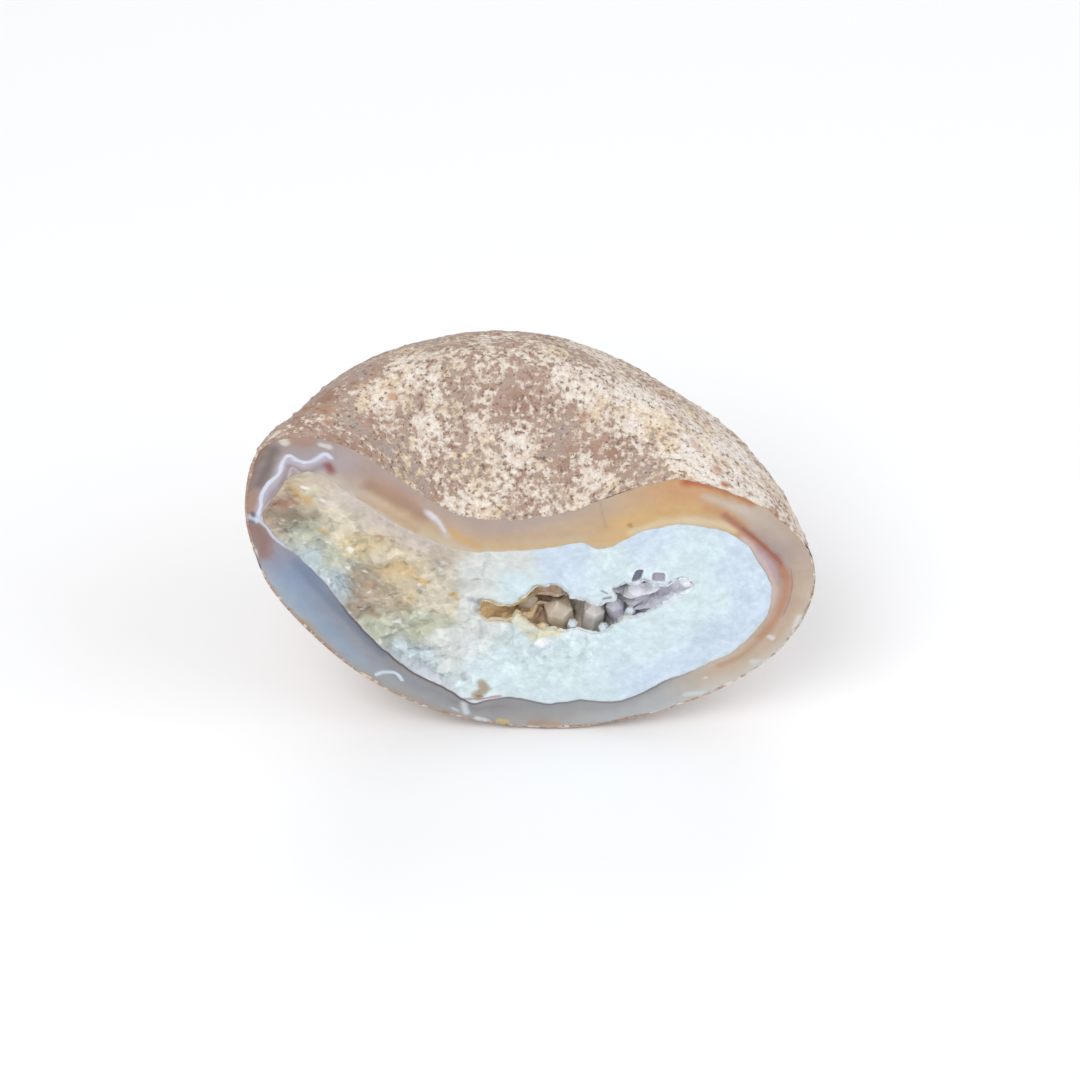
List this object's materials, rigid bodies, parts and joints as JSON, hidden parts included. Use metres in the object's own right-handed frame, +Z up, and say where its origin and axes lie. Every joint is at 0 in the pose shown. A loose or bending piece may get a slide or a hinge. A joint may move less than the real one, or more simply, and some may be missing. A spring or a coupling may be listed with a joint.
{
  "type": "geode half",
  "caption": "Sawn half of a kidney-shaped geode: weathered rind over an agate wall, a massive quartz lining and a small open vug lined with quartz crystals.",
  "frame": {"origin": "on the resting plane, under the middle of the whole stone's bounding box", "axes": "+X along the stone's long axis, +Y back from the sawn face, which faces -Y, and +Z up"},
  "size_m": [0.1102, 0.052, 0.0812],
  "materials": {
    "agate": "weathered crust outside; sawn and polished chalcedony on the face",
    "quartz": "sawn and polished massive quartz, milky to icy white with warm zones",
    "vug_crystal": "natural quartz crystal faces, smoky to milky"
  },
  "bodies": {
    "root": {"agate_shell": "agate", "quartz_lining": "quartz", "vug_crystal_01": "vug_crystal", "vug_crystal_02": "vug_crystal", "vug_crystal_03": "vug_crystal", "vug_crystal_04": "vug_crystal", "vug_crystal_05": "vug_crystal", "vug_crystal_06": "vug_crystal", "vug_crystal_07": "vug_crystal", "vug_crystal_08": "vug_crystal", "vug_crystal_09": "vug_crystal", "vug_crystal_10": "vug_crystal", "vug_crystal_11": "vug_crystal", "vug_crystal_12": "vug_crystal", "vug_crystal_13": "vug_crystal", "vug_crystal_14": "vug_crystal"}
  },
  "joints": []
}
